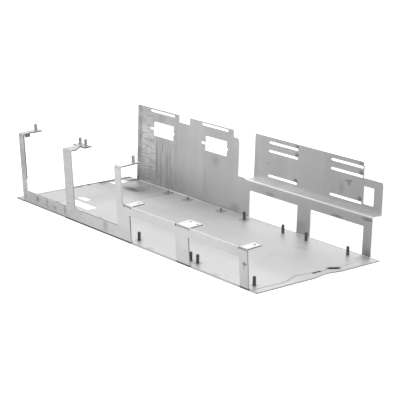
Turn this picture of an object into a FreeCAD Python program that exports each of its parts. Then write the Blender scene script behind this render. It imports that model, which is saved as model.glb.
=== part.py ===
import FreeCAD, Part
import math
import os

import Sketcher
from FreeCAD import Placement, Rotation, Vector

# Sheet metal chassis: one folded sheet with self-clinching studs pressed into it.
# Drawing frame: x from the left end of the base, y from the front fold line, z up from the underside.
# Heights on a wall run up the wall from its fold line, because both walls lean outwards.

doc = FreeCAD.newDocument("chassis")
table = doc.addObject("Spreadsheet::Sheet", "sizes")

driving_sizes = [
    # sheet and bends
    ("sheet_thick", 1.5, "sheet thickness"),
    ("bend_inside", 0.9, "inside radius of every bend"),
    ("relief_width", 1.2, "width of a bend relief"),
    ("relief_margin", 0.6, "how far a relief runs past its bend"),
    ("fold_gap", 0.6, "gap between neighbouring folds"),
    # base and the ends of its walls
    ("base_length", 500.0, "base, end to end"),
    ("base_width", 186.0, "base, front fold to rear fold"),
    ("front_wall_left", 19.3, "left end of the front wall"),
    ("rear_wall_left", 20.3, "left end of the rear wall"),
    ("right_lip", 14.0, "base beyond the right ends of the walls"),
    ("front_lean", 3.0, "front wall, degrees outwards"),
    ("rear_lean", 2.2, "rear wall, degrees outwards"),
    # rear wall from left to right: two connector panels, a shoulder, the end of the shelf, the windows
    ("panel_1_width", 94.7, "left panel"),
    ("notch_width", 23.0, "notch between the panels"),
    ("panel_2_width", 92.4, "right panel"),
    ("shoulder_width", 11.1, "step beside the right panel"),
    ("shelf_start", 15.2, "from that step to the end of the shelf"),
    ("window_start", 9.8, "from the end of the shelf to the left window"),
    ("middle_leg_width", 24.2, "leg midway between the two windows, on both walls"),
    ("end_leg_width", 14.4, "leg at the right end of both walls"),
    # rear wall, heights
    ("panel_top", 108.5, "top of the two connector panels"),
    ("notch_depth", 9.8, "notch and shoulder below the panel top"),
    ("rear_rail_top", 50.0, "top of the rear rail and the shelf"),
    ("rear_rail_depth", 13.8, "rear rail above its windows"),
    ("panel_corner_radius", 3.0, "panel corners"),
    ("shoulder_radius", 5.0, "shoulder corner"),
    # connector cut-outs
    ("cutout_1_start", 37.7, "left cut-out from the left end of its panel"),
    ("cutout_2_start", 34.6, "right cut-out from the left end of its panel"),
    ("cutout_width", 44.5, "cut-out width"),
    ("cutout_height", 20.0, "cut-out height"),
    ("cutout_drop", 17.5, "cut-outs below the panel top"),
    ("latch_rise", 7.9, "side notches above the lower edge"),
    ("latch_height", 3.5, "height of the side notches"),
    ("latch_long", 8.6, "depth of the left side notch"),
    ("latch_short", 2.0, "depth of the right side notch"),
    # slots
    ("slot_height", 3.5, "every long slot"),
    ("slot_length", 54.5, "every long slot"),
    ("panel_slot_drop", 3.3, "slots of the connector panels below the panel top"),
    ("panel_slot_shift", 2.9, "these slots left of the middle of their cut-outs"),
    ("left_slots_start", 27.3, "left slots of the upper panel from its left end"),
    ("right_slots_inset", 1.7, "right slots from the right edge of the tall part"),
    ("upper_slot_drop", 6.4, "upper slots below the panel top"),
    ("middle_slot_drop", 17.4, "middle slots below the panel top"),
    ("lower_slot_rise", 7.7, "lower slots above the shelf"),
    # shelf and upper panel
    ("shelf_reach", 14.0, "rail face to upper panel face"),
    ("upper_panel_height", 57.0, "tall part above the shelf"),
    ("wing_length", 32.0, "low part at the right end"),
    ("wing_drop", 18.8, "low part below the tall part"),
    ("upper_corner_radius", 5.0, "corner of the tall part"),
    ("wing_corner_radius", 2.5, "corner of the low part"),
    ("wing_window_start", 1.2, "window from the tall part"),
    ("wing_window_width", 16.6, "window in the low part"),
    ("wing_window_rise", 7.4, "window above the shelf"),
    ("wing_window_height", 21.6, "window in the low part"),
    # front wall, heights
    ("low_wall", 17.5, "height of the low front wall"),
    ("front_rail_top", 47.3, "top of the front rail"),
    ("front_rail_depth", 11.7, "front rail above its windows"),
    ("post_top", 93.5, "height of the middle and right posts"),
    ("left_post_extra", 1.0, "how much higher the left post stands"),
    # posts
    ("left_post_width", 12.2, "left post above its step"),
    ("left_post_step", 1.0, "step in the left post's right edge"),
    ("left_post_step_rise", 16.0, "that step above the low wall"),
    ("middle_post_left", 126.0, "middle post, left edge"),
    ("middle_post_width", 18.5, "middle post"),
    ("right_post_width", 12.3, "right post"),
    ("right_post_gap", 4.4, "right post to the left rail tab"),
    ("post_foot_radius", 4.0, "fillet where the middle post meets the low wall"),
    ("rail_corner_radius", 2.0, "fillet beside the right post and in the left window"),
    # stiffening fold turned down from the left tab
    ("gusset_length", 10.5, "its end from the outer face"),
    ("gusset_depth", 5.0, "its depth"),
    # tabs on the posts
    ("post_tab_reach", 29.5, "left and right tabs, outer face to free end"),
    ("middle_tab_reach", 31.5, "middle tab, outer face to free end"),
    ("left_neck_length", 4.3, "notch between the gusset and the left pad"),
    ("left_neck_cut", 2.5, "depth of that notch"),
    ("neck_shoulder", 9.2, "where the middle tab starts to narrow"),
    ("middle_neck_inset", 1.0, "neck of the middle tab from the post's left edge"),
    ("middle_neck_width", 8.0, "neck of the middle tab"),
    ("middle_pad_length", 10.8, "stud pad of the middle tab, to its free end"),
    ("middle_pad_width", 25.5, "stud pad of the middle tab"),
    ("middle_pad_overhang", 6.5, "stud pad left of the middle post"),
    # tabs on the front rail
    ("rail_tab_reach", 21.0, "rail tabs, outer face to free end"),
    ("left_tab_width", 13.0, "left rail tab"),
    ("left_tab_start", 10.0, "left rail tab, how far it starts left of the window"),
    ("middle_tab_shift", 1.7, "middle rail tab right of its leg, which it matches in width"),
    ("right_tab_width", 12.6, "right rail tab"),
    ("right_tab_inset", 0.8, "right rail tab from the right end of the wall"),
    ("tab_hole_radius", 1.6, "screw holes in the rail tabs"),
    ("tab_hole_inset", 4.2, "screw holes from the free ends"),
    # openings in the base, all behind the low wall
    ("long_hole_left", 52.0, "two long openings, left end"),
    ("long_hole_length", 58.5, "two long openings"),
    ("long_hole_width", 18.0, "two long openings"),
    ("long_hole_front", 18.4, "front opening, front edge"),
    ("crossbar", 4.6, "bar between neighbouring openings"),
    ("short_hole_length", 24.0, "short opening"),
    ("short_hole_width", 11.4, "short opening"),
    ("short_hole_left", 48.0, "short opening, left end"),
    ("corner_hole_left", 7.0, "opening in the rear left corner"),
    ("corner_hole_length", 16.5, "opening in the rear left corner"),
    ("corner_hole_width", 24.5, "opening in the rear left corner"),
    ("corner_hole_margin", 17.0, "its rear edge from the rear fold"),
    ("spare_hole_start", 42.7, "empty stud hole from the left end of the rear wall"),
    ("spare_hole_margin", 12.0, "empty stud hole from the rear fold"),
    # slots and dip in the end lips
    ("lip_slot_turn", 90.0, "lip slots run along the ends, degrees"),
    ("left_slot_x", 5.6, "slots in the left lip"),
    ("left_slot_gap", 21.8, "middle of the rear slot to the corner opening"),
    ("left_slot_pitch", 16.7, "between the middles of the two slots"),
    ("left_slot_1_length", 8.0, "front slot, end to end"),
    ("left_slot_2_length", 13.0, "rear slot, end to end"),
    ("left_slot_height", 3.0, "slot width"),
    ("right_slot_1_inset", 13.0, "narrow slot from the right end"),
    ("right_slot_1_y", 99.0, "its middle"),
    ("right_slot_1_length", 12.0, "end to end"),
    ("right_slot_1_height", 2.0, "slot width"),
    ("right_slot_2_inset", 11.8, "wide slot from the right end"),
    ("right_slot_2_y", 124.5, "its middle"),
    ("right_slot_2_length", 13.0, "end to end"),
    ("right_slot_2_height", 4.6, "slot width"),
    ("right_slot_2_turn", 55.0, "it stands askew, degrees"),
    ("dip_start", 86.0, "shallow dip in the right edge"),
    ("dip_taper", 17.0, "run-in and run-out of the dip"),
    ("dip_floor", 7.0, "level part of the dip"),
    ("dip_depth", 3.6, "depth of the dip"),
    # studs
    ("stud_radius", 2.0, "thread outside radius"),
    ("stud_head_radius", 2.8, "clinch head"),
    ("small_stud_radius", 1.5, "thread outside radius, short studs"),
    ("small_head_radius", 2.3, "clinch head, short studs"),
    ("stud_proud", 0.1, "head above the sheet, where the thread starts"),
    ("seat_clear", 0.05, "radial room of a stud in its seat"),
    ("base_stud_length", 12.0, "overall, tall studs of the base"),
    ("post_stud_length", 10.0, "overall, studs of the post tabs"),
    ("small_stud_length", 6.0, "overall, short studs of the base"),
    ("front_stud_1_start", 7.0, "from the left edge of the left rail tab"),
    ("front_stud_2_start", 6.8, "from the left edge of the middle rail tab"),
    ("front_stud_pair", 13.0, "spacing of the two studs under the middle rail tab"),
    ("front_stud_4_start", 6.4, "from the left edge of the right rail tab"),
    ("rear_stud_margin", 14.0, "tall rear row from the rear fold"),
    ("small_stud_margin", 12.5, "short rear row from the rear fold"),
    ("rear_stud_1_inset", 6.7, "from the right end of the left panel"),
    ("rear_stud_2_start", 14.5, "from the left end of the right panel"),
    ("rear_stud_3_inset", 7.1, "from the right end of the right panel"),
    ("rear_stud_4_start", 6.0, "from the left edge of the left window"),
    ("rear_stud_5_gap", 10.2, "left of the middle leg"),
    ("rear_stud_6_gap", 8.0, "right of the middle leg"),
    ("rear_stud_7_gap", 10.2, "left of the end leg"),
    ("left_tab_stud_start", 5.7, "from the left edge of the left post"),
    ("left_tab_stud_inset", 6.0, "from the free end of the left tab"),
    ("middle_tab_stud_pair", 12.6, "spacing of the two studs, centred on the pad"),
    ("middle_tab_stud_inset", 4.3, "from the free end of the middle tab"),
    ("right_tab_stud_start", 6.7, "from the left edge of the right post"),
    ("right_tab_stud_inset", 5.5, "from the free end of the right tab"),
]


class Size:
    # A dimension that carries its spreadsheet formula and its present value.
    def __init__(self, formula, value):
        self.formula = formula
        self.value = value

    def __add__(self, other):
        other = as_size(other)
        return Size("(%s + %s)" % (self.formula, other.formula), self.value + other.value)

    def __sub__(self, other):
        other = as_size(other)
        return Size("(%s - %s)" % (self.formula, other.formula), self.value - other.value)

    def __mul__(self, other):
        other = as_size(other)
        return Size("(%s * %s)" % (self.formula, other.formula), self.value * other.value)

    def __truediv__(self, other):
        other = as_size(other)
        return Size("(%s / %s)" % (self.formula, other.formula), self.value / other.value)

    def __neg__(self):
        return Size("(0 - %s)" % self.formula, -self.value)


def as_size(number):
    return number if isinstance(number, Size) else Size(str(number), float(number))


def sine(angle):
    return Size("sin(%s)" % angle.formula, math.sin(math.radians(angle.value)))


def cosine(angle):
    return Size("cos(%s)" % angle.formula, math.cos(math.radians(angle.value)))


class Sizes:
    pass


s = Sizes()
table.set("A1", "name")
table.set("B1", "value")
table.set("C1", "meaning")
for row, (name, value, meaning) in enumerate(driving_sizes, start=2):
    table.set("A%d" % row, name)
    table.set("B%d" % row, str(value))
    table.set("C%d" % row, meaning)
    table.setAlias("B%d" % row, name)
    setattr(s, name, Size("sizes." + name, value))
doc.recompute()

zero = Size("0", 0.0)
tolerance = 0.001

# Sizes worked out from the driving ones.
bend_outside = s.bend_inside + s.sheet_thick
relief_depth = bend_outside + s.relief_margin
cut_depth = s.sheet_thick * 2
wall_right = s.base_length - s.right_lip
panel_1_right = s.rear_wall_left + s.panel_1_width
panel_2_left = panel_1_right + s.notch_width
panel_2_right = panel_2_left + s.panel_2_width
panel_shoulder = panel_2_right + s.shoulder_width
shelf_left = panel_shoulder + s.shelf_start
bay_left = shelf_left + s.window_start
end_leg_left = wall_right - s.end_leg_width
middle_leg_left = (bay_left + end_leg_left - s.middle_leg_width) / 2
middle_leg_right = middle_leg_left + s.middle_leg_width
end_legs = [(middle_leg_left, middle_leg_right), (end_leg_left, wall_right)]
front_feet = [(s.front_wall_left, bay_left)] + end_legs
rear_feet = [(s.rear_wall_left, bay_left)] + end_legs

notch_floor = s.panel_top - s.notch_depth
rear_window_top = s.rear_rail_top - s.rear_rail_depth
cutout_1_left = s.rear_wall_left + s.cutout_1_start
cutout_2_left = panel_2_left + s.cutout_2_start
cutout_top = s.panel_top - s.cutout_drop
cutout_bottom = cutout_top - s.cutout_height
latch_bottom = cutout_bottom + s.latch_rise
latch_top = latch_bottom + s.latch_height
upper_panel_top = s.rear_rail_top + s.upper_panel_height
upper_panel_right = wall_right - s.wing_length
wing_top = upper_panel_top - s.wing_drop

front_window_top = s.front_rail_top - s.front_rail_depth
left_post_top = s.post_top + s.left_post_extra
left_post_right = s.front_wall_left + s.left_post_width
left_pad_start = s.gusset_length + s.left_neck_length + s.fold_gap * 2
middle_post_right = s.middle_post_left + s.middle_post_width
middle_neck_left = s.middle_post_left + s.middle_neck_inset
middle_neck_right = middle_neck_left + s.middle_neck_width
middle_pad_left = s.middle_post_left - s.middle_pad_overhang
middle_pad_right = middle_pad_left + s.middle_pad_width
middle_pad_start = s.middle_tab_reach - s.middle_pad_length
left_tab_left = bay_left - s.left_tab_start
middle_tab_left = middle_leg_left + s.middle_tab_shift
right_tab_left = wall_right - s.right_tab_inset - s.right_tab_width
rail_tabs = [
    (left_tab_left, s.left_tab_width),
    (middle_tab_left, s.middle_leg_width),
    (right_tab_left, s.right_tab_width),
]
right_post_right = left_tab_left - s.right_post_gap
right_post_left = right_post_right - s.right_post_width

corner_hole_rear = s.base_width - s.corner_hole_margin
corner_hole_front = corner_hole_rear - s.corner_hole_width
left_slot_2_y = corner_hole_front - s.left_slot_gap
left_slot_1_y = left_slot_2_y - s.left_slot_pitch
dip_end = s.dip_start + s.dip_taper * 2 + s.dip_floor


# Sketch planes

def bind(item, path, size):
    item.setExpression(path, size.formula)


def new_sketch(body, name, plane, shift=(zero, zero, zero), turn_axis=Vector(1, 0, 0), turn=None):
    # shift and turn are given in the plane's own axes
    sketch = body.newObject("Sketcher::SketchObject", name)
    for item in body.Origin.OriginFeatures:
        if item.Role == plane:
            sketch.AttachmentSupport = [(item, "")]
    sketch.MapMode = "FlatFace"
    angle = turn.value if turn else 0.0
    place = Vector(shift[0].value, shift[1].value, shift[2].value)
    sketch.AttachmentOffset = Placement(place, Rotation(turn_axis, angle))
    for letter, size in zip("xyz", shift):
        if size is not zero:
            bind(sketch, "AttachmentOffset.Base." + letter, size)
    if turn:
        bind(sketch, "AttachmentOffset.Rotation.Angle", turn)
    return sketch


def front_face_sketch(name):
    # outer face of the front wall: x along it, height up it, normal outwards
    return new_sketch(chassis, name, "XZ_Plane", turn=s.front_lean)


def rear_face_sketch(name):
    # outer face of the rear wall: x along it, height up it, normal inwards
    shift = (zero, zero, -s.base_width)
    return new_sketch(chassis, name, "XZ_Plane", shift, Vector(-1, 0, 0), s.rear_lean)


def upper_face_sketch(name):
    # rear face of the upper panel, which stands parallel to the rear wall behind the shelf
    down = -(s.shelf_reach * sine(s.rear_lean))
    back = -(s.base_width + s.shelf_reach * cosine(s.rear_lean))
    return new_sketch(chassis, name, "XZ_Plane", (zero, down, back), Vector(-1, 0, 0), s.rear_lean)


def front_tab_sketch(name, height):
    # top face of a tab folded in from the front wall: x along it, y inwards from the outer face
    forward = -(height * sine(s.front_lean))
    up = height * cosine(s.front_lean)
    return new_sketch(chassis, name, "XY_Plane", (zero, forward, up), turn=s.front_lean)


def shelf_sketch(name):
    # top face of the shelf: x along it, y outwards from the rear wall's outer face
    back = s.base_width + s.rear_rail_top * sine(s.rear_lean)
    up = s.rear_rail_top * cosine(s.rear_lean)
    return new_sketch(chassis, name, "XY_Plane", (zero, back, up), Vector(-1, 0, 0), s.rear_lean)


def side_sketch(name, x):
    # plane across the front wall at x: first axis inwards from its outer face, second up the wall
    return new_sketch(chassis, name, "YZ_Plane", (zero, zero, x), Vector(0, 0, 1), s.front_lean)


# Sketch shapes

def pin(sketch, geometry, point, x, y):
    for kind, axis, size in (("DistanceX", -2, x), ("DistanceY", -1, y)):
        if size is zero:
            sketch.addConstraint(Sketcher.Constraint("PointOnObject", geometry, point, axis))
        else:
            index = sketch.addConstraint(
                Sketcher.Constraint(kind, -1, 1, geometry, point, size.value))
            bind(sketch, "Constraints[%d]" % index, size)


def outline(sketch, corners):
    first = sketch.GeometryCount
    points = [Vector(x.value, y.value, 0) for x, y in corners]
    for start, end in zip(points, points[1:] + points[:1]):
        sketch.addGeometry(Part.LineSegment(start, end), False)
    count = len(corners)
    for i in range(count):
        following = first + (i + 1) % count
        sketch.addConstraint(Sketcher.Constraint("Coincident", first + i, 2, following, 1))
    for i, (x, y) in enumerate(corners):
        pin(sketch, first + i, 1, x, y)


def box(sketch, left, right, low, high):
    outline(sketch, [(left, low), (right, low), (right, high), (left, high)])


def circle(sketch, x, y, radius):
    index = sketch.addGeometry(Part.Circle(Vector(x.value, y.value, 0), Vector(0, 0, 1), radius.value))
    pin(sketch, index, 3, x, y)
    number = sketch.addConstraint(Sketcher.Constraint("Radius", index, radius.value))
    bind(sketch, "Constraints[%d]" % number, radius)


def obround(sketch, x, y, length, width, turn=zero):
    # centre, overall length and width; the long way is turned from the x axis by a number of degrees
    radius = width / 2
    half = length / 2 - radius
    reach = (half * cosine(turn), half * sine(turn)) if turn is not zero else (half, zero)
    centres = [(x - reach[0], y - reach[1]), (x + reach[0], y + reach[1])]
    start = math.radians(turn.value + 90)
    across = Vector(math.cos(start), math.sin(start), 0) * radius.value
    low, high = [Vector(cx.value, cy.value, 0) for cx, cy in centres]
    ends = [Part.Circle(centre, Vector(0, 0, 1), radius.value) for centre in (low, high)]
    low_arc = Part.ArcOfCircle(ends[0], start, start + math.pi)
    high_arc = Part.ArcOfCircle(ends[1], start + math.pi, start + 2 * math.pi)
    first = sketch.GeometryCount
    sketch.addGeometry(low_arc, False)
    sketch.addGeometry(Part.LineSegment(low - across, high - across), False)
    sketch.addGeometry(high_arc, False)
    sketch.addGeometry(Part.LineSegment(high + across, low + across), False)
    for i in range(4):
        following = first + (i + 1) % 4
        sketch.addConstraint(Sketcher.Constraint("Tangent", first + i, 2, following, 1))
    sketch.addConstraint(Sketcher.Constraint("Equal", first, first + 2))
    number = sketch.addConstraint(Sketcher.Constraint("Radius", first, radius.value))
    bind(sketch, "Constraints[%d]" % number, radius)
    pin(sketch, first, 3, *centres[0])
    pin(sketch, first + 2, 3, *centres[1])


# Features

def pad(body, sketch, length, reverse=False):
    feature = body.newObject("PartDesign::Pad", sketch.Name.replace("_sketch", ""))
    feature.Profile = sketch
    feature.Length = length.value
    bind(feature, "Length", length)
    feature.Reversed = reverse
    doc.recompute()
    return feature


def pocket(body, sketch, depth, reverse=False):
    before = body.Tip.Shape.Volume
    feature = body.newObject("PartDesign::Pocket", sketch.Name.replace("_sketch", ""))
    feature.Profile = sketch
    feature.Length = depth.value
    bind(feature, "Length", depth)
    feature.Reversed = reverse
    doc.recompute()
    if not feature.Shape.Volume < before - tolerance:
        raise RuntimeError(feature.Name + " cuts nothing")
    return feature


def edges_where(shape, test):
    return ["Edge%d" % (i + 1) for i, edge in enumerate(shape.Edges) if test(edge)]


def is_straight(edge, direction):
    if edge.Curve.TypeId != "Part::GeomLine":
        return False
    start, end = edge.Vertexes[0].Point, edge.Vertexes[-1].Point
    return (end - start).normalize().cross(direction).Length < tolerance


def fillet(body, name, radius, test):
    base = body.Tip
    names = edges_where(base.Shape, test)
    if not names:
        raise RuntimeError(name + " finds no edge")
    feature = body.newObject("PartDesign::Fillet", name)
    feature.Base = (base, names)
    feature.Radius = radius.value
    bind(feature, "Radius", radius)
    doc.recompute()
    return feature


def fold_edge_test(points):
    # edges along x through any of the (y, z) points
    def test(edge):
        if not is_straight(edge, Vector(1, 0, 0)):
            return False
        middle = edge.BoundBox.Center
        return any(math.hypot(middle.y - y, middle.z - z) < 0.02 for y, z in points)
    return test


def on_front_wall(height, inwards):
    # drawing frame y and z of a point at a height up the front wall and inwards from its outer face
    lean = math.radians(s.front_lean.value)
    y = inwards * math.cos(lean) - height * math.sin(lean)
    z = inwards * math.sin(lean) + height * math.cos(lean)
    return y, z


def on_rear_wall(height, outwards):
    lean = math.radians(s.rear_lean.value)
    y = s.base_width.value + outwards * math.cos(lean) + height * math.sin(lean)
    z = height * math.cos(lean) - outwards * math.sin(lean)
    return y, z


def front_corner_test(corners):
    # edges through the front wall at the given (x, height) corners
    lean = math.radians(s.front_lean.value)
    return corner_test(corners, Vector(0, math.cos(lean), math.sin(lean)), on_front_wall,
                       s.sheet_thick.value / 2)


def rear_corner_test(corners, outwards):
    lean = math.radians(s.rear_lean.value)
    return corner_test(corners, Vector(0, math.cos(lean), -math.sin(lean)), on_rear_wall, outwards)


def corner_test(corners, direction, place, depth):
    def test(edge):
        if not is_straight(edge, direction):
            return False
        middle = edge.BoundBox.Center
        for x, height in corners:
            y, z = place(height.value, depth)
            if (middle - Vector(x.value, y, z)).Length < 0.05:
                return True
        return False
    return test


chassis = doc.addObject("PartDesign::Body", "chassis_sheet")
chassis.Label = "chassis_sheet"
thick = s.sheet_thick.value


# Flat base with its two end lips; the right edge has a shallow dip.
sketch = new_sketch(chassis, "base_plate_sketch", "XY_Plane")
outline(sketch, [
    (zero, zero),
    (s.base_length, zero),
    (s.base_length, s.dip_start),
    (s.base_length - s.dip_depth, s.dip_start + s.dip_taper),
    (s.base_length - s.dip_depth, dip_end - s.dip_taper),
    (s.base_length, dip_end),
    (s.base_length, s.base_width),
    (zero, s.base_width),
])
pad(chassis, sketch, s.sheet_thick)


def wall_foot(left_end, window_top):
    # lower outline of a wall from left to right: three feet with two windows between them
    return [
        (left_end, zero),
        (bay_left, zero),
        (bay_left, window_top),
        (middle_leg_left, window_top),
        (middle_leg_left, zero),
        (middle_leg_right, zero),
        (middle_leg_right, window_top),
        (end_leg_left, window_top),
        (end_leg_left, zero),
        (wall_right, zero),
    ]


# Front wall: low wall with three posts on the left, a rail on legs on the right.
sketch = front_face_sketch("front_wall_sketch")
outline(sketch, wall_foot(s.front_wall_left, front_window_top) + [
    (wall_right, s.front_rail_top),
    (right_post_right, s.front_rail_top),
    (right_post_right, s.post_top),
    (right_post_left, s.post_top),
    (right_post_left, s.low_wall),
    (middle_post_right, s.low_wall),
    (middle_post_right, s.post_top),
    (s.middle_post_left, s.post_top),
    (s.middle_post_left, s.low_wall),
    (left_post_right - s.left_post_step, s.low_wall),
    (left_post_right - s.left_post_step, s.low_wall + s.left_post_step_rise),
    (left_post_right, s.low_wall + s.left_post_step_rise),
    (left_post_right, left_post_top),
    (s.front_wall_left, left_post_top),
])
pad(chassis, sketch, s.sheet_thick, reverse=True)

# Rear wall: two tall connector panels on the left, a rail on legs on the right.
sketch = rear_face_sketch("rear_wall_sketch")
outline(sketch, wall_foot(s.rear_wall_left, rear_window_top) + [
    (wall_right, s.rear_rail_top),
    (panel_shoulder, s.rear_rail_top),
    (panel_shoulder, notch_floor),
    (panel_2_right, notch_floor),
    (panel_2_right, s.panel_top),
    (panel_2_left, s.panel_top),
    (panel_2_left, notch_floor),
    (panel_1_right, notch_floor),
    (panel_1_right, s.panel_top),
    (s.rear_wall_left, s.panel_top),
])
pad(chassis, sketch, s.sheet_thick)

# Tabs folded in from the tops of the posts; the left and middle ones end in stud pads.
sketch = front_tab_sketch("left_tab_sketch", left_post_top)
outline(sketch, [
    (s.front_wall_left, zero),
    (left_post_right, zero),
    (left_post_right, s.gusset_length + s.fold_gap),
    (left_post_right - s.left_neck_cut, s.gusset_length + s.fold_gap),
    (left_post_right - s.left_neck_cut, left_pad_start - s.fold_gap),
    (left_post_right, left_pad_start),
    (left_post_right, s.post_tab_reach),
    (s.front_wall_left, s.post_tab_reach),
])
pad(chassis, sketch, s.sheet_thick, reverse=True)
sketch = front_tab_sketch("post_tabs_sketch", s.post_top)
outline(sketch, [
    (s.middle_post_left, zero),
    (middle_post_right, zero),
    (middle_post_right, s.neck_shoulder),
    (middle_neck_right, middle_pad_start),
    (middle_pad_right, middle_pad_start),
    (middle_pad_right, s.middle_tab_reach),
    (middle_pad_left, s.middle_tab_reach),
    (middle_pad_left, middle_pad_start),
    (middle_neck_left, middle_pad_start),
    (s.middle_post_left, s.neck_shoulder),
])
box(sketch, right_post_left, right_post_right, zero, s.post_tab_reach)
pad(chassis, sketch, s.sheet_thick, reverse=True)

# Tabs folded in from the top of the front rail.
sketch = front_tab_sketch("rail_tabs_sketch", s.front_rail_top)
for left, width in rail_tabs:
    box(sketch, left, left + width, zero, s.rail_tab_reach)
pad(chassis, sketch, s.sheet_thick, reverse=True)

# Shelf folded out from the rear rail, and the upper panel folded up from it.
sketch = shelf_sketch("shelf_sketch")
box(sketch, shelf_left, wall_right, -s.sheet_thick, s.shelf_reach)
pad(chassis, sketch, s.sheet_thick, reverse=True)
sketch = upper_face_sketch("upper_panel_sketch")
outline(sketch, [
    (shelf_left, s.rear_rail_top - s.sheet_thick),
    (wall_right, s.rear_rail_top - s.sheet_thick),
    (wall_right, wing_top),
    (upper_panel_right, wing_top),
    (upper_panel_right, upper_panel_top),
    (shelf_left, upper_panel_top),
])
pad(chassis, sketch, s.sheet_thick)

# Stiffening fold turned down from the left tab.
sketch = side_sketch("gusset_sketch", left_post_right)
box(sketch, bend_outside + s.fold_gap, s.gusset_length, left_post_top - s.gusset_depth, left_post_top)
pad(chassis, sketch, s.sheet_thick, reverse=True)

# Bend reliefs: in the base beside every foot, in the rails beside every tab and the shelf.
sketch = new_sketch(chassis, "base_reliefs_sketch", "XY_Plane")
for feet, front, back in (
        (front_feet, zero, relief_depth),
        (rear_feet, s.base_width - relief_depth, s.base_width)):
    for left, right in feet:
        for start in (left - s.relief_width, right):
            box(sketch, start, start + s.relief_width, front, back)
pocket(chassis, sketch, cut_depth, reverse=True)
sketch = front_face_sketch("rail_reliefs_sketch")
for left, width in rail_tabs:
    for start in (left - s.relief_width, left + width):
        if start.value + s.relief_width.value < wall_right.value:
            box(sketch, start, start + s.relief_width, s.front_rail_top - relief_depth, s.front_rail_top)
pocket(chassis, sketch, cut_depth)
sketch = rear_face_sketch("shelf_relief_sketch")
box(sketch, shelf_left - s.relief_width, shelf_left, s.rear_rail_top - relief_depth, s.rear_rail_top)
pocket(chassis, sketch, cut_depth, reverse=True)

# Bends. The inside radius and the outside radius of a bend share their centre.
inner_foot = [
    ((thick - thick * math.sin(math.radians(s.front_lean.value)))
     / math.cos(math.radians(s.front_lean.value)), thick),
    (s.base_width.value - (thick - thick * math.sin(math.radians(s.rear_lean.value)))
     / math.cos(math.radians(s.rear_lean.value)), thick),
]
tab_levels = (left_post_top, s.post_top, s.front_rail_top)
inner_tabs = [on_front_wall(top.value - thick, thick) for top in tab_levels]
inner_shelf = [
    on_rear_wall(s.rear_rail_top.value - thick, 0.0),
    on_rear_wall(s.rear_rail_top.value, s.shelf_reach.value - thick),
]
fillet(chassis, "inside_bends", s.bend_inside,
       fold_edge_test(inner_foot + inner_tabs + inner_shelf))
outer_foot = [(0.0, 0.0), (s.base_width.value, 0.0)]
outer_tabs = [on_front_wall(top.value, 0.0) for top in tab_levels]
outer_shelf = [
    on_rear_wall(s.rear_rail_top.value, -thick),
    on_rear_wall(s.rear_rail_top.value - thick, s.shelf_reach.value),
]


def outer_fold_test(edge):
    # the lips and window sills share the fold line but stay square
    if not fold_edge_test(outer_foot + outer_tabs + outer_shelf)(edge):
        return False
    middle = edge.BoundBox.Center
    if middle.z < tolerance:
        feet = front_feet if middle.y < s.base_width.value / 2 else rear_feet
        return any(left.value < middle.x < right.value for left, right in feet)
    if abs(middle.z - outer_tabs[2][1]) < tolerance:
        return any(left.value < middle.x < left.value + width.value for left, width in rail_tabs)
    if abs(middle.z - outer_shelf[0][1]) < tolerance:
        return middle.x > shelf_left.value
    return True


fillet(chassis, "outside_bends", bend_outside, outer_fold_test)

# Rounded corners of the outlines.
fillet(chassis, "post_foot_corner", s.post_foot_radius,
       front_corner_test([(middle_post_right, s.low_wall)]))
fillet(chassis, "rail_corners", s.rail_corner_radius,
       front_corner_test([(right_post_right, s.front_rail_top), (middle_leg_left, front_window_top)]))
fillet(chassis, "panel_corners", s.panel_corner_radius,
       rear_corner_test([(panel_1_right, s.panel_top), (panel_2_right, s.panel_top)], -thick / 2))
fillet(chassis, "shoulder_corner", s.shoulder_radius,
       rear_corner_test([(panel_shoulder, notch_floor)], -thick / 2))
upper_middle = s.shelf_reach.value - thick / 2
fillet(chassis, "upper_corner", s.upper_corner_radius,
       rear_corner_test([(upper_panel_right, upper_panel_top)], upper_middle))
fillet(chassis, "wing_corner", s.wing_corner_radius,
       rear_corner_test([(wall_right, wing_top)], upper_middle))


# Connector cut-outs with their latch notches, and the slots above them.
def connector(sketch, left):
    right = left + s.cutout_width
    outline(sketch, [
        (left, cutout_bottom),
        (right, cutout_bottom),
        (right, latch_bottom),
        (right + s.latch_short, latch_bottom),
        (right + s.latch_short, latch_top),
        (right, latch_top),
        (right, cutout_top),
        (left, cutout_top),
        (left, latch_top),
        (left - s.latch_long, latch_top),
        (left - s.latch_long, latch_bottom),
        (left, latch_bottom),
    ])


sketch = rear_face_sketch("connector_openings_sketch")
for left in (cutout_1_left, cutout_2_left):
    connector(sketch, left)
    middle = left + s.cutout_width / 2 - s.panel_slot_shift
    obround(sketch, middle, s.panel_top - s.panel_slot_drop, s.slot_length, s.slot_height)
pocket(chassis, sketch, cut_depth, reverse=True)

# Six slots and the window of the upper panel.
sketch = upper_face_sketch("upper_openings_sketch")
for middle in (
        shelf_left + s.left_slots_start + s.slot_length / 2,
        upper_panel_right - s.right_slots_inset - s.slot_length / 2):
    for level in (
            upper_panel_top - s.upper_slot_drop,
            upper_panel_top - s.middle_slot_drop,
            s.rear_rail_top + s.lower_slot_rise):
        obround(sketch, middle, level, s.slot_length, s.slot_height)
window_left = upper_panel_right + s.wing_window_start
window_bottom = s.rear_rail_top + s.wing_window_rise
box(sketch, window_left, window_left + s.wing_window_width,
    window_bottom, window_bottom + s.wing_window_height)
pocket(chassis, sketch, cut_depth, reverse=True)

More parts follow.
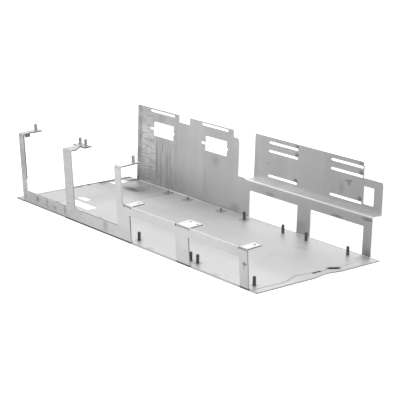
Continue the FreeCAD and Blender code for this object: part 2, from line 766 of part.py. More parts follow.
# Openings in the base and slots in the end lips.
sketch = new_sketch(chassis, "base_openings_sketch", "XY_Plane")
front = s.long_hole_front
for length, width, left in (
        (s.long_hole_length, s.long_hole_width, s.long_hole_left),
        (s.long_hole_length, s.long_hole_width, s.long_hole_left),
        (s.short_hole_length, s.short_hole_width, s.short_hole_left)):
    box(sketch, left, left + length, front, front + width)
    front = front + width + s.crossbar
box(sketch, s.corner_hole_left, s.corner_hole_left + s.corner_hole_length,
    corner_hole_front, corner_hole_rear)
circle(sketch, s.rear_wall_left + s.spare_hole_start, s.base_width - s.spare_hole_margin,
       s.small_stud_radius + s.seat_clear)
for length, middle in ((s.left_slot_1_length, left_slot_1_y), (s.left_slot_2_length, left_slot_2_y)):
    obround(sketch, s.left_slot_x, middle, length, s.left_slot_height, s.lip_slot_turn)
obround(sketch, s.base_length - s.right_slot_1_inset, s.right_slot_1_y, s.right_slot_1_length,
        s.right_slot_1_height, s.lip_slot_turn)
obround(sketch, s.base_length - s.right_slot_2_inset, s.right_slot_2_y, s.right_slot_2_length,
        s.right_slot_2_height, s.right_slot_2_turn)
pocket(chassis, sketch, cut_depth, reverse=True)

# Screw holes in the rail tabs, each above a stud of the front row.
front_row = (
    left_tab_left + s.front_stud_1_start,
    middle_tab_left + s.front_stud_2_start,
    middle_tab_left + s.front_stud_2_start + s.front_stud_pair,
    right_tab_left + s.front_stud_4_start,
)
hole_reach = s.rail_tab_reach - s.tab_hole_inset
front_stud_y = hole_reach * cosine(s.front_lean) - s.front_rail_top * sine(s.front_lean)
sketch = front_tab_sketch("tab_holes_sketch", s.front_rail_top)
for x in front_row:
    circle(sketch, x, hole_reach, s.tab_hole_radius)
pocket(chassis, sketch, cut_depth)

# Studs of the base: name, x and y.
tall_studs = []
for i, x in enumerate(front_row, start=1):
    tall_studs.append(("stud_front_%d" % i, x, front_stud_y))
for i, x in enumerate((
        bay_left + s.rear_stud_4_start,
        middle_leg_left - s.rear_stud_5_gap,
        middle_leg_right + s.rear_stud_6_gap,
        end_leg_left - s.rear_stud_7_gap), start=4):
    tall_studs.append(("stud_rear_%d" % i, x, s.base_width - s.rear_stud_margin))
short_studs = []
for i, x in enumerate((
        panel_1_right - s.rear_stud_1_inset,
        panel_2_left + s.rear_stud_2_start,
        panel_2_right - s.rear_stud_3_inset), start=1):
    short_studs.append(("stud_rear_%d" % i, x, s.base_width - s.small_stud_margin))

# Studs of the post tabs: name, height of the tab's top face, x, distance from the outer face.
middle_pad_middle = middle_pad_left + s.middle_pad_width / 2
middle_stud_reach = s.middle_tab_reach - s.middle_tab_stud_inset
post_studs = [
    ("stud_post_1", left_post_top, s.front_wall_left + s.left_tab_stud_start,
     s.post_tab_reach - s.left_tab_stud_inset),
    ("stud_post_2", s.post_top, middle_pad_middle - s.middle_tab_stud_pair / 2, middle_stud_reach),
    ("stud_post_3", s.post_top, middle_pad_middle + s.middle_tab_stud_pair / 2, middle_stud_reach),
    ("stud_post_4", s.post_top, right_post_left + s.right_tab_stud_start,
     s.post_tab_reach - s.right_tab_stud_inset),
]


def seats(name, sketch, thread, head):
    # conical seats of clinched studs, widest where the head lies flush with the sketch's face
    spread = head - thread
    depth = s.sheet_thick + s.stud_proud
    before = chassis.Tip.Shape.Volume
    hole = chassis.newObject("PartDesign::Hole", name)
    hole.Profile = sketch
    hole.ThreadType = "None"
    hole.DepthType = "Dimension"
    hole.DrillPoint = "Flat"
    hole.HoleCutType = "Countersink"
    hole.HoleCutCustomValues = True
    hole.Reversed = True
    for path, size in (
            ("Diameter", thread * 2),
            ("Depth", cut_depth),
            ("HoleCutDiameter", (head + s.seat_clear) * 2)):
        setattr(hole, path, size.value)
        bind(hole, path, size)
    hole.HoleCutCountersinkAngle = 2 * math.degrees(math.atan(spread.value / depth.value))
    bind(hole, "HoleCutCountersinkAngle",
         Size("2 * atan(%s / %s)" % (spread.formula, depth.formula), 0.0))
    doc.recompute()
    if not hole.Shape.Volume < before - tolerance:
        raise RuntimeError(name + " cuts nothing")


for name, studs, thread, head in (
        ("tall_seats", tall_studs, s.stud_radius, s.stud_head_radius),
        ("short_seats", short_studs, s.small_stud_radius, s.small_head_radius)):
    sketch = new_sketch(chassis, name + "_sketch", "XY_Plane")
    for label, x, y in studs:
        circle(sketch, x, y, thread)
    seats(name, sketch, thread, head)
for name, level, studs in (
        ("left_tab_seat", left_post_top, post_studs[:1]),
        ("post_tab_seats", s.post_top, post_studs[1:])):
    sketch = front_tab_sketch(name + "_sketch", level - s.sheet_thick)
    for label, top, x, reach in studs:
        circle(sketch, x, reach, s.stud_radius)
    seats(name, sketch, s.stud_radius, s.stud_head_radius)


def place(body, x, y, z, turn=None):
    # from the drawing frame to the part's frame, whose origin is the middle of the base's underside
    body.Placement = Placement(Vector(0, 0, 0), Rotation(Vector(1, 0, 0), turn.value if turn else 0.0))
    bind(body, "Placement.Base.x", x - s.base_length / 2)
    bind(body, "Placement.Base.y", y - s.base_width / 2)
    bind(body, "Placement.Base.z", z)
    if turn:
        bind(body, "Placement.Rotation.Angle", turn)


def stud(name, thread, head, length):
    # self-clinching stud with a conical head, origin in the middle of its flush face, thread end up
    body = doc.addObject("PartDesign::Body", name)
    body.Label = name
    sketch = new_sketch(body, name + "_sketch", "XZ_Plane")
    outline(sketch, [
        (zero, zero),
        (head, zero),
        (thread, s.sheet_thick + s.stud_proud),
        (thread, length),
        (zero, length),
    ])
    turned = body.newObject("PartDesign::Revolution", name + "_turned")
    turned.Profile = sketch
    turned.ReferenceAxis = (sketch, ["V_Axis"])
    turned.Angle = 360.0
    return body


place(chassis, zero, zero, zero)
for name, x, y in tall_studs:
    place(stud(name, s.stud_radius, s.stud_head_radius, s.base_stud_length), x, y, zero)
for name, x, y in short_studs:
    place(stud(name, s.small_stud_radius, s.small_head_radius, s.small_stud_length), x, y, zero)
for name, top, x, reach in post_studs:
    up = top - s.sheet_thick
    y = reach * cosine(s.front_lean) - up * sine(s.front_lean)
    z = reach * sine(s.front_lean) + up * cosine(s.front_lean)
    place(stud(name, s.stud_radius, s.stud_head_radius, s.post_stud_length), x, y, z, s.front_lean)
doc.recompute()

# Nothing is written unless every object is sound.
for item in doc.Objects:
    if "Invalid" in item.State or "Error" in item.State:
        raise RuntimeError("%s is in state %s" % (item.Name, item.State))
bodies = [item for item in doc.Objects if item.TypeId == "PartDesign::Body"]
for body in bodies:
    if body.Shape.isNull() or not body.Shape.isValid() or len(body.Shape.Solids) != 1:
        raise RuntimeError("%s is not one valid solid" % body.Label)

os.makedirs("parts", exist_ok=True)
for body in bodies:
    body.Shape.exportStep(os.path.join("parts", body.Label + ".step"))
    bounds = body.Shape.BoundBox
    print("%-16s %8.2f %8.2f %8.2f mm, %10.1f mm3" % (
        body.Label, bounds.XLength, bounds.YLength, bounds.ZLength, body.Shape.Volume))
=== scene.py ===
import math

import bmesh
import bpy
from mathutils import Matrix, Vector
from mathutils.bvhtree import BVHTree


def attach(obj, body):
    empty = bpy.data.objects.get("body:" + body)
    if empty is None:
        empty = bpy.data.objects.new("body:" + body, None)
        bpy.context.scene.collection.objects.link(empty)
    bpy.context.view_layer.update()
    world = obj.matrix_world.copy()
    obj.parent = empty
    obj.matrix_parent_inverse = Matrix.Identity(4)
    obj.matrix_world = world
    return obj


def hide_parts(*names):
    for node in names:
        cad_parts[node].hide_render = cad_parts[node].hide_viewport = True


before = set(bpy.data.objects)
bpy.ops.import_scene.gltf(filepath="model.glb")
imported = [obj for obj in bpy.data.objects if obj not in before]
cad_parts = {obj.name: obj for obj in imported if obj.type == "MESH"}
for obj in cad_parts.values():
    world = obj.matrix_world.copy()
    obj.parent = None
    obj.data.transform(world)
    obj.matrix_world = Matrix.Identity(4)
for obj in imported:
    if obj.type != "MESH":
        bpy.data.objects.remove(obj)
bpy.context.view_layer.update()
print("frame loaded:", len(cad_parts), "nodes")

mm = 0.001
scene = bpy.context.scene
sheetNode = "chassis_sheet"

# the drawing's millimetres start at the left end of the front fold line, on the underside
baseSize = {"length": 500, "width": 186, "thickness": 1.5}
frontLean = 3.0  # degrees


class Graph:
    # a thin wrapper that keeps node code short
    def __init__(self, tree):
        self.tree = tree

    def add(self, kind, values=(), **settings):
        node = self.tree.nodes.new(kind)
        for name, value in settings.items():
            setattr(node, name, value)
        for socket, value in dict(values).items():
            self.feed(node.inputs[socket], value)
        return node

    def feed(self, socket, value):
        if isinstance(value, bpy.types.NodeSocket):
            self.tree.links.new(value, socket)
        else:
            socket.default_value = value

    def math(self, operation, first, second=0.0, clamp=False):
        node = self.add("ShaderNodeMath", {0: first, 1: second},
                        operation=operation, use_clamp=clamp)
        return node.outputs[0]

    def chain(self, operation, values):
        result = values[0]
        for value in values[1:]:
            result = self.math(operation, result, value)
        return result

    def total(self, *values):
        return self.chain("ADD", values)

    def product(self, *values):
        return self.chain("MULTIPLY", values)

    def largest(self, *values):
        return self.chain("MAXIMUM", values)

    def less(self, first, second):
        return self.math("SUBTRACT", first, second)

    def ramp(self, value, start, end, low=0.0, high=1.0):
        # smooth step from low to high while value runs from start to end
        node = self.add("ShaderNodeMapRange", {"Value": value, "From Min": start, "From Max": end,
                                               "To Min": low, "To Max": high},
                        interpolation_type="SMOOTHSTEP")
        return node.outputs["Result"]

    def band(self, value, start, end, soft):
        # 1 from start to end, with soft edges
        rise = self.ramp(value, start - soft, start + soft)
        fall = self.ramp(value, end - soft, end + soft, 1.0, 0.0)
        return self.product(rise, fall)

    def stretch(self, vector, factors):
        node = self.add("ShaderNodeVectorMath", {0: vector, 1: factors}, operation="MULTIPLY")
        return node.outputs[0]

    def distance(self, place, centre, factors):
        away = self.add("ShaderNodeVectorMath", {0: place, 1: centre}, operation="SUBTRACT")
        near = self.stretch(away.outputs[0], factors)
        return self.add("ShaderNodeVectorMath", {0: near}, operation="LENGTH").outputs["Value"]

    def noise(self, vector, scale=1.0, detail=2.0, rough=0.55, distortion=0.0, stretch=None):
        if stretch:
            vector = self.stretch(vector, stretch)
        node = self.add("ShaderNodeTexNoise", {"Vector": vector, "Scale": scale, "Detail": detail,
                                               "Roughness": rough, "Distortion": distortion})
        return node.outputs["Fac"]

    def swing(self, noise, depth):
        # noise about its middle, so that it lightens as much as it darkens
        return self.product(self.less(noise, 0.5), depth)

    def curve(self, value, points):
        # a smooth line through points whose two numbers run from 0 to 1
        node = self.add("ShaderNodeFloatCurve", {"Value": value})
        line = node.mapping.curves[0]
        line.points[0].location = points[0]
        line.points[1].location = points[-1]
        for point in points[1:-1]:
            line.points.new(*point)
        node.mapping.update()
        return node.outputs[0]

    def mixColor(self, factor, first, second):
        # a Mix node's colour sockets are 6 and 7
        node = self.add("ShaderNodeMix", data_type="RGBA")
        for index, value in ((0, factor), (6, first), (7, second)):
            self.feed(node.inputs[index], value)
        return node.outputs[2]

    def scaled(self, color, tone):
        node = self.add("ShaderNodeVectorMath", {0: color, "Scale": tone}, operation="SCALE")
        return node.outputs[0]


def grey(level, tint=(0.0, 0.0, 0.0)):
    return (level + tint[0], level + tint[1], level + tint[2], 1.0)


def newMaterial(name):
    material = bpy.data.materials.new(name)
    material.use_nodes = True
    material.node_tree.nodes.clear()
    return material, Graph(material.node_tree)


def drawingAxes(g):
    # Object coordinates in drawing millimetres, whole and split
    coords = g.add("ShaderNodeTexCoord").outputs["Object"]
    corner = (baseSize["length"] / 2, baseSize["width"] / 2, 0.0)
    place = g.add("ShaderNodeMapping", {"Vector": coords, "Scale": (1 / mm, 1 / mm, 1 / mm),
                                        "Location": corner}).outputs["Vector"]
    axes = g.add("ShaderNodeSeparateXYZ", {"Vector": place}).outputs
    return place, axes["X"], axes["Y"], axes["Z"]


# rolled metal: the grain and handling marks that the sheet, its cut edges and the studs share
grainLook = {
    "grain": {"stretch": (0.12, 1.0, 1.0), "scale": 0.9, "detail": 2.0},
    "clouds": {"scale": 0.018, "detail": 4.0, "rough": 0.6, "distortion": 0.6},
    "wipes": {"stretch": (1.0, 0.35, 0.35), "scale": 0.05, "detail": 5.0, "rough": 0.65},
    "wipedRoughness": 0.25, "grainHeight": 0.02, "grainDepth": 0.04,
}


def makeGrainGroup():
    look = grainLook
    tree = bpy.data.node_groups.new("rolledMetal", "ShaderNodeTree")
    face = tree.interface
    face.new_socket(name="Place", in_out="INPUT", socket_type="NodeSocketVector")
    for name in ("Grain Depth", "Cloud Depth", "Base Roughness"):
        face.new_socket(name=name, in_out="INPUT", socket_type="NodeSocketFloat")
    for name in ("Tone", "Roughness", "Height"):
        face.new_socket(name=name, in_out="OUTPUT", socket_type="NodeSocketFloat")
    g = Graph(tree)
    entry = g.add("NodeGroupInput").outputs
    leave = g.add("NodeGroupOutput").inputs
    grain, clouds, wipes = [g.noise(entry["Place"], **look[part])
                            for part in ("grain", "clouds", "wipes")]
    cloudy = g.swing(g.product(g.total(clouds, wipes), 0.5), entry["Cloud Depth"])
    g.feed(leave["Tone"], g.total(1.0, g.total(g.swing(grain, entry["Grain Depth"]), cloudy)))
    g.feed(leave["Roughness"], g.total(entry["Base Roughness"],
                                       g.swing(wipes, look["wipedRoughness"])))
    g.feed(leave["Height"], g.total(clouds, g.product(grain, look["grainHeight"])))
    return tree


grainGroup = makeGrainGroup()


def rolledMetal(g, place, roughness, cloudDepth, grainDepth=grainLook["grainDepth"]):
    values = {"Place": place, "Grain Depth": grainDepth, "Cloud Depth": cloudDepth,
              "Base Roughness": roughness}
    return g.add("ShaderNodeGroup", values, node_tree=grainGroup).outputs


def metalSurface(g, metallic, color, roughness, normal=None):
    surface = g.add("ShaderNodeBsdfPrincipled", {"Metallic": metallic, "Base Color": color,
                                                 "Roughness": roughness})
    if normal is not None:
        g.feed(surface.inputs["Normal"], normal)
    g.add("ShaderNodeOutputMaterial", {"Surface": surface.outputs["BSDF"]})


sheetLook = {
    "color": 0.76, "metallic": 0.8, "roughness": 0.46, "dirtRoughness": 0.25, "cloudDepth": 0.16,
    "dirtAndShade": (0.05, 0.047, 0.045, 1.0), "rust": (0.15, 0.125, 0.1, 1.0), "holeLight": 1.0,
    "warmTint": (0.0, 0.003, -0.006), "coolTint": (-0.003, -0.003, 0.012),
    "tints": {"scale": 0.025}, "tintMix": (0.4, 0.6),
    "breaks": {"scale": 0.35, "detail": 4.0, "rough": 0.65}, "breakDepth": (0.3, 0.6, 0.62, 1.0),
    "bump": 0.35, "bumpHeight": 0.6,
}

# In the dictionaries below a ramp is its start, its end and its two values (0 and 1 where they
# aren't given), and a band is its start, its end and how softly it ends. x runs along the chassis,
# y from the front fold to the rear, z up, in drawing millimetres.
sheetZones = {
    "frontY": (31.0, 33.0, 1.0, 0.0), "frontZ": (1.8, 2.6),
    "rearY": (182.0, 185.0), "rearZ": (2.0, 3.4), "baseZ": (1.8, 2.6, 1.0, 0.0),
}
# tones multiply the sheet's colour, painting light and shade on it
# painted light on the front wall: lighter towards the right, darker at its right end and its foot,
# the tab tops painted brighter; the smudges are marks
frontTone = {
    "wallX": (40.0, 250.0, 0.87, 1.045), "rightEndX": (430.0, 480.0, 1.0, 0.88),
    "footZ": (14.0, 24.0, 0.93, 1.0),
    "tabsInward": (1.9, 2.6), "tabsZ": (40.0, 42.0), "tabTopZ": (60.0, 70.0, 1.28, 0.98),
    "rightTabsX": (180.0, 200.0, 0.0, 1.28),
    "smudges": {"stretch": (0.09, 0.0, 0.16), "detail": 4.0, "rough": 0.65},
    "smudgeCut": (0.42, 0.64), "smudgeX": (230.0, 60.0, 0.25, 1.0), "smudge": 0.13,
    "smudgeLift": 0.13 / 6,
}
# painted shade on the rear wall: darkest at its foot, lighter upwards and at the top, darker
# towards the right
rearTone = {
    "footX": (120.0, 280.0, 0.49, 0.6), "riseZ": (5.0, 60.0), "middle": 0.74,
    "topZ": (60.0, 100.0, 1.0, 1.08), "rightX": (215.0, 430.0, 1.0, 0.78),
}
# painted light: how much brighter the shelf, its bend and the foot of the upper panel are than the
# rear wall
shelfTone = {
    "x": (256.0, 258.0), "y": (186.4, 187.2), "z": (46.6, 51.2, 0.4),
    "topY": (189.0, 198.0, 0.6), "top": 0.5, "bendY": (189.0, 188.0), "bend": 0.7,
    "panelFootY": (195.0, 198.0), "panelFootZ": (48.0, 54.0, 2.0), "panelFoot": 0.12,
}
# painted light and shade on the base: darker towards the rear and at the left end, brighter at the
# front towards the right, a darker patch at the left
baseTone = {
    "plain": 0.99, "slant": -0.22, "rearShade": (86.0, 150.0, 1.0, 0.86),
    "leftX": (40.0, 120.0, 0.94, 1.0),
    "frontX": (190.0, 215.0), "frontY": (75.0, 45.0), "front": 0.085,
    "dullX": (54.0, 92.0, 7.0), "dullY": (60.0, 75.0), "dull": 0.07,
    # a painted reflection of the rear wall's dark end in the base, and a pale painted reflection
    # beside it
    "mirrorDullX": (117.0, 113.0, 0.0, -0.06), "mirrorPaleX": (115.0, 168.0, 3.0),
    "mirrorPale": 0.06, "mirrorY": (105.0, 130.0),
}
# painted highlight on the rear fold at its left end and painted shade at its right; the other folds
# get painted shade
rearFold = {"y": (181.8, 182.6), "z": (4.4, 3.4), "lightX": (110.0, 190.0, 0.15, -0.12)}
# painted shade in the folds of the rail's and posts' tabs, and along the underside of the front
# fold, weaker under the windows and at the right end
tabFold = {
    "inward": (2.4, 1.6), "railUp": (45.2, 47.0, 0.4), "rail": 0.6,
    "railTabsX": [(256.4, 269.6, 0.2), (358.5, 383.0, 0.2), (472.4, 485.3, 0.2)],
    "postUp": (90.6, 91.4), "postX": (255.0, 256.0, 1.0, 0.0), "post": 0.3,
}
frontFold = {
    "y": (2.2, 1.2), "z": (3.0, 1.6), "plain": 0.8, "open": 0.45,
    "windowsX": [(267.0, 356.5, 0.5), (382.0, 471.5, 0.5)], "openEndX": (485.0, 486.0),
}


def frontWallTone(g, place, x, z, inward):
    look = frontTone
    wall = g.product(g.ramp(x, *look["wallX"]), g.ramp(x, *look["rightEndX"]),
                     g.ramp(z, *look["footZ"]))
    onTabs = g.product(g.ramp(inward, *look["tabsInward"]), g.ramp(z, *look["tabsZ"]))
    tabs = g.largest(g.ramp(z, *look["tabTopZ"]), g.ramp(x, *look["rightTabsX"]))
    wall = g.total(wall, g.product(onTabs, g.less(tabs, wall)))
    smudges = g.product(g.ramp(g.noise(place, **look["smudges"]), *look["smudgeCut"]),
                        g.ramp(x, *look["smudgeX"]), look["smudge"])
    return g.product(wall, g.less(1.0 + look["smudgeLift"], smudges))


def rearWallTone(g, x, y, z):
    look = rearTone
    rise = g.ramp(z, *look["riseZ"])
    wall = g.total(g.product(g.ramp(x, *look["footX"]), g.less(1.0, rise)),
                   g.product(rise, look["middle"]))
    wall = g.product(wall, g.ramp(z, *look["topZ"]), g.ramp(x, *look["rightX"]))
    look = shelfTone
    onShelf = g.product(g.band(z, *look["z"]), g.ramp(y, *look["y"]), g.ramp(x, *look["x"]))
    shelf = g.total(g.product(g.band(y, *look["topY"]), look["top"]),
                    g.product(g.ramp(y, *look["bendY"]), look["bend"]))
    atFoot = g.product(g.ramp(y, *look["panelFootY"]), g.band(z, *look["panelFootZ"]),
                       look["panelFoot"])
    return g.product(wall, g.total(1.0, g.largest(g.product(onShelf, shelf), atFoot)))


def basePlateTone(g, x, y):
    look = baseTone
    slanted = g.total(y, g.product(x, look["slant"]))
    atFront = g.product(g.ramp(y, *look["frontY"]), g.ramp(x, *look["frontX"]), look["front"])
    dull = g.product(g.band(x, *look["dullX"]), g.ramp(y, *look["dullY"]), look["dull"])
    mirror = g.total(g.ramp(x, *look["mirrorDullX"]),
                     g.product(g.band(x, *look["mirrorPaleX"]), look["mirrorPale"]))
    return g.product(look["plain"], g.ramp(slanted, *look["rearShade"]),
                     g.ramp(x, *look["leftX"]), g.total(1.0, atFront), g.less(1.0, dull),
                     g.total(1.0, g.product(mirror, g.ramp(y, *look["mirrorY"]))))


def paintedFoldShade(g, x, y, z, inward, upward, onFront):
    look = tabFold
    atTabs = g.largest(*[g.band(x, *tab) for tab in look["railTabsX"]])
    rail = g.product(g.band(upward, *look["railUp"]), atTabs, look["rail"])
    post = g.product(g.ramp(upward, *look["postUp"]), g.ramp(x, *look["postX"]), look["post"])
    tabs = g.product(g.largest(rail, post), g.ramp(inward, *look["inward"]), onFront)
    look = frontFold
    atOpenings = g.largest(*[g.band(x, *window) for window in look["windowsX"]],
                           g.ramp(x, *look["openEndX"]))
    depth = g.less(look["plain"], g.product(atOpenings, look["plain"] - look["open"]))
    front = g.product(g.ramp(z, *look["z"]), g.ramp(y, *look["y"]), depth)
    return g.largest(tabs, front)


def sheetTone(g, place, x, y, z, onRear, onBase):
    # painted light and shade over the walls and base, and painted shade in the folds
    lean = math.radians(frontLean)
    inward = g.total(g.product(y, math.cos(lean)), g.product(z, math.sin(lean)))
    upward = g.less(g.product(z, math.cos(lean)), g.product(y, math.sin(lean)))
    onFront = g.product(g.ramp(y, *sheetZones["frontY"]), g.ramp(z, *sheetZones["frontZ"]))
    tone = g.total(g.product(onRear, rearWallTone(g, x, y, z)),
                   g.product(onFront, frontWallTone(g, place, x, z, inward)),
                   g.product(onBase, basePlateTone(g, x, y)))
    foldLight = g.product(g.ramp(y, *rearFold["y"]), g.ramp(z, *rearFold["z"]),
                       g.ramp(x, *rearFold["lightX"]))
    tone = g.product(tone, g.total(1.0, foldLight))
    return tone, paintedFoldShade(g, x, y, z, inward, upward, onFront)


# the rear wall's dirty left end: a dark column, ripples, streaks, and what was wiped bright, with
# painted shade along its foot
rearEndDirtAndShadeLook = {
    "ripples": {"stretch": (0.05, 0.0, 0.34), "detail": 4.0, "rough": 0.6, "distortion": 0.4},
    "blots": {"stretch": (0.09, 0.0, 0.06), "detail": 4.0, "rough": 0.6},
    "streaks": {"stretch": (0.3, 0.0, 0.03), "detail": 4.0, "rough": 0.62},
    "wipes": {"stretch": (0.42, 0.0, 0.02), "detail": 3.0, "rough": 0.6},
    "broad": {"stretch": (0.035, 0.0, 0.004), "detail": 2.0, "rough": 0.5},
    "cut": (0.46, 0.62), "blotCut": (0.4, 0.62),
    "columnX": (10.0, 31.0, 3.0), "columnAll": 0.06, "columnMost": 0.32,
    "ripplesX": (31.0, 64.0, 3.0), "ripplesZ": (60.0, 8.0, 0.26, 0.36),
    "streaksX": (64.0, 112.0, 7.0), "streaksZ": (96.0, 12.0, 0.5, 1.0), "streak": 0.36,
    "footX": (150.0, 90.0), "footZ": (34.0, 10.0), "foot": 0.2,
    "patchX": (31.0, 64.0, 4.0), "patchZ": (18.0, 84.0, 8.0), "patch": (0.0, 1.0, 0.28, 0.08),
    "wipesX": (64.0, 122.0, 8.0), "wipe": 0.7, "broadDepth": 0.24,
    "paleX": (131.0, 168.0, 3.0), "paleZ": (4.0, 30.0), "pale": 0.06,
}


def rearEndDirtAndShade(g, place, x, z, onRear):
    look = rearEndDirtAndShadeLook
    ripples, streaks = [g.ramp(g.noise(place, **look[part]), *look["cut"])
                        for part in ("ripples", "streaks")]
    blots = g.ramp(g.noise(place, **look["blots"]), *look["blotCut"])
    mottled = g.product(g.largest(ripples, blots), look["columnMost"])
    column = g.product(g.band(x, *look["columnX"]), g.total(look["columnAll"], mottled))
    rippled = g.product(g.band(x, *look["ripplesX"]), ripples, g.ramp(z, *look["ripplesZ"]))
    streaked = g.product(g.band(x, *look["streaksX"]), streaks, g.ramp(z, *look["streaksZ"]),
                         look["streak"])
    # painted shade along the foot of the wall, deepest towards the left
    foot = g.product(g.ramp(x, *look["footX"]), g.ramp(z, *look["footZ"]), blots, look["foot"])
    shade = g.product(onRear, g.largest(column, rippled, streaked, foot))
    patch = g.product(g.band(x, *look["patchX"]), g.band(z, *look["patchZ"]),
                      g.ramp(blots, *look["patch"]))
    wiped = g.product(g.band(x, *look["wipesX"]), g.swing(g.noise(place, **look["wipes"]),
                                                          look["wipe"]))
    broad = g.swing(g.noise(place, **look["broad"]), look["broadDepth"])
    pale = g.product(g.band(x, *look["paleX"]), g.ramp(z, *look["paleZ"]), look["pale"])
    lift = g.product(onRear, g.total(patch, wiped, broad, pale))
    return shade, g.total(1.0, lift)


# a mark is its centre (x, y, z), its reach along each of them, and its strength; it fades out
# between two shares of its reach
markFade = (0.25, 1.15)
markReach = {"throughWall": 30.0, "aboveBase": 2.0}
wallY = {"front": 0.0, "rightLeg": -1.0, "leftPost": -3.0, "rear": 187.0, "upper": 201.0}


def onWall(y, rows):
    # rows of x, z, reach across, reach up, strength
    return [((x, y, z), (across, markReach["throughWall"], up), strength)
            for x, z, across, up, strength in rows]


def onBasePlate(rows):
    # rows of x, y, reach across, reach back, strength
    return [((x, y, baseSize["thickness"]), (across, back, markReach["aboveBase"]), strength)
            for x, y, across, back, strength in rows]


shortStudPlaces = [(108.3, 173.5), (152.5, 173.5), (223.3, 173.5)]

darkMarksAndShade = (
    onWall(wallY["upper"], [
        # the right ends of the long slots
        (336.6, 103.2, 4.6, 3.4, 0.62), (336.6, 93.4, 4.6, 3.4, 0.62),
        (336.2, 60.4, 5.4, 4.2, 0.66), (448.6, 103.6, 4.0, 3.0, 0.45),
        (449.4, 93.2, 4.6, 3.4, 0.62), (449.0, 61.6, 5.2, 4.0, 0.66),
        # a forked smear, and two faint spots
        (430.1, 77.4, 2.2, 3.6, 0.6), (426.6, 79.4, 4.0, 1.5, 0.62),
        (432.6, 80.3, 3.4, 1.5, 0.62), (418.0, 69.6, 6.0, 9.0, 0.2),
        (283.9, 73.5, 3.0, 2.2, 0.22),
    ])
    + onWall(wallY["rear"], [
        # the left corner, and streaks that run down to the fold
        (21.0, 2.0, 7.0, 9.0, 0.9), (65.6, 38.0, 2.3, 48.0, 0.42), (76.4, 32.0, 2.3, 42.0, 0.2),
        (90.6, 32.0, 2.6, 40.0, 0.3), (173.8, 28.0, 2.4, 30.0, 0.12),
        # blots on the panels, the rail and its legs
        (76.0, 98.0, 14.0, 7.0, 0.24), (194.9, 60.6, 9.0, 8.0, 0.2), (239.9, 9.0, 12.0, 7.0, 0.22),
        (427.5, 38.6, 12.0, 2.6, 0.5), (478.0, 45.6, 13.0, 3.0, 0.55),
        (367.0, 12.0, 14.0, 10.0, 0.12), (480.5, 4.0, 9.0, 9.0, 0.35),
    ])
    + onWall(wallY["front"], [
        (26.0, 9.0, 5.0, 5.0, 0.3), (55.6, 11.0, 5.0, 5.0, 0.55), (78.5, 12.0, 2.4, 7.0, 0.4),
        (80.0, 6.0, 9.0, 3.0, 0.22), (98.0, 8.0, 5.0, 4.0, 0.3), (121.5, 11.0, 4.0, 9.0, 0.4),
        (213.0, 11.0, 7.0, 10.0, 0.28),
    ])
    + onWall(wallY["rightLeg"], [(481.0, 29.5, 4.6, 2.6, 0.68), (479.6, 26.0, 2.6, 6.0, 0.3)])
    + onWall(wallY["leftPost"], [(24.0, 60.0, 9.0, 26.0, 0.2)])
    # the stiffening fold beside the left post's tab
    + [((31.8, 0.8, 92.6), (3.0, 8.0, 3.4), 0.7)]
    # painted contact shade round the studs
    + onBasePlate([(x, y, 3.6, 4.6, 0.6) for x, y in shortStudPlaces])
    + onBasePlate([
        (272.5, 172.0, 4.6, 7.0, 0.45), (263.5, 14.3, 6.5, 6.5, 0.35),
        (365.4, 14.3, 6.5, 6.5, 0.35), (378.4, 14.3, 7.0, 7.0, 0.4), (479.0, 14.3, 6.0, 6.0, 0.35),
        # painted shade round the slots in the right lip and on the ridge between them
        (487.0, 95.0, 4.2, 4.2, 0.8), (487.0, 103.0, 4.2, 4.2, 0.8), (487.2, 113.0, 2.0, 5.0, 0.5),
        (485.8, 121.0, 6.0, 6.0, 0.92), (488.2, 124.5, 6.0, 6.0, 0.92),
        (490.4, 128.0, 6.0, 6.0, 0.92),
        # round the brown stain, and in the left end
        (69.0, 152.0, 42.0, 22.0, 0.2), (65.0, 146.5, 17.0, 5.0, 0.6), (20.0, 184.0, 5.0, 5.0, 0.4),
        (11.0, 133.0, 8.0, 10.0, 0.3),
        # smears and scratches in the open
        (151.0, 32.0, 8.0, 6.0, 0.2), (300.0, 4.0, 9.0, 5.0, 0.25), (424.0, 4.0, 9.0, 5.0, 0.2),
        (410.0, 148.0, 11.0, 8.0, 0.18), (408.0, 100.0, 1.2, 10.0, 0.2),
        (416.0, 150.6, 10.0, 1.4, 0.22),
    ])
)
brownMarks = (
    onBasePlate([(61.0, 147.0, 23.0, 10.0, 1.0), (66.0, 159.0, 18.0, 8.0, 0.4),
                 (74.0, 153.0, 10.0, 6.0, 0.45)])
    + onWall(wallY["rear"], [(306.0, 39.4, 10.0, 2.6, 0.5)])
)
# painted light: pale patches round the slots in the left lip, standing in for the lit floor seen
# through them
holeLightMarks = onBasePlate([(6.2, 122.7, 3.4, 8.5, 1.0), (6.2, 106.0, 3.0, 5.0, 0.9)])


def markField(g, place, marks):
    # the strongest mark at each point, 0 to 1
    field = 0.0
    for centre, reach, strength in marks:
        distance = g.distance(place, centre, tuple(1.0 / along for along in reach))
        field = g.largest(field, g.ramp(distance, *markFade, strength, 0.0))
    return field


# dark rings round the rear studs: centre, radius and strength
darkStudRings = [(centre, 5.8, strength)
               for centre, strength in zip(shortStudPlaces, (0.42, 0.42, 0.4))]
darkStudRings.append(((272.5, 172.0), 6.2, 0.3))
# a line is dark over its core, a share of its width
lineLook = {"core": 0.3, "ringWidth": 2.4}


def lineAt(g, value, place, width):
    away = g.math("ABSOLUTE", g.less(value, place))
    return g.ramp(away, width * lineLook["core"], width, 1.0, 0.0)


def ringField(g, place):
    field = 0.0
    for (x, y), radius, strength in darkStudRings:
        distance = g.distance(place, (x, y, 0.0), (1.0, 1.0, 0.0))
        line = lineAt(g, distance, radius, lineLook["ringWidth"])
        field = g.largest(field, g.product(line, strength))
    return field


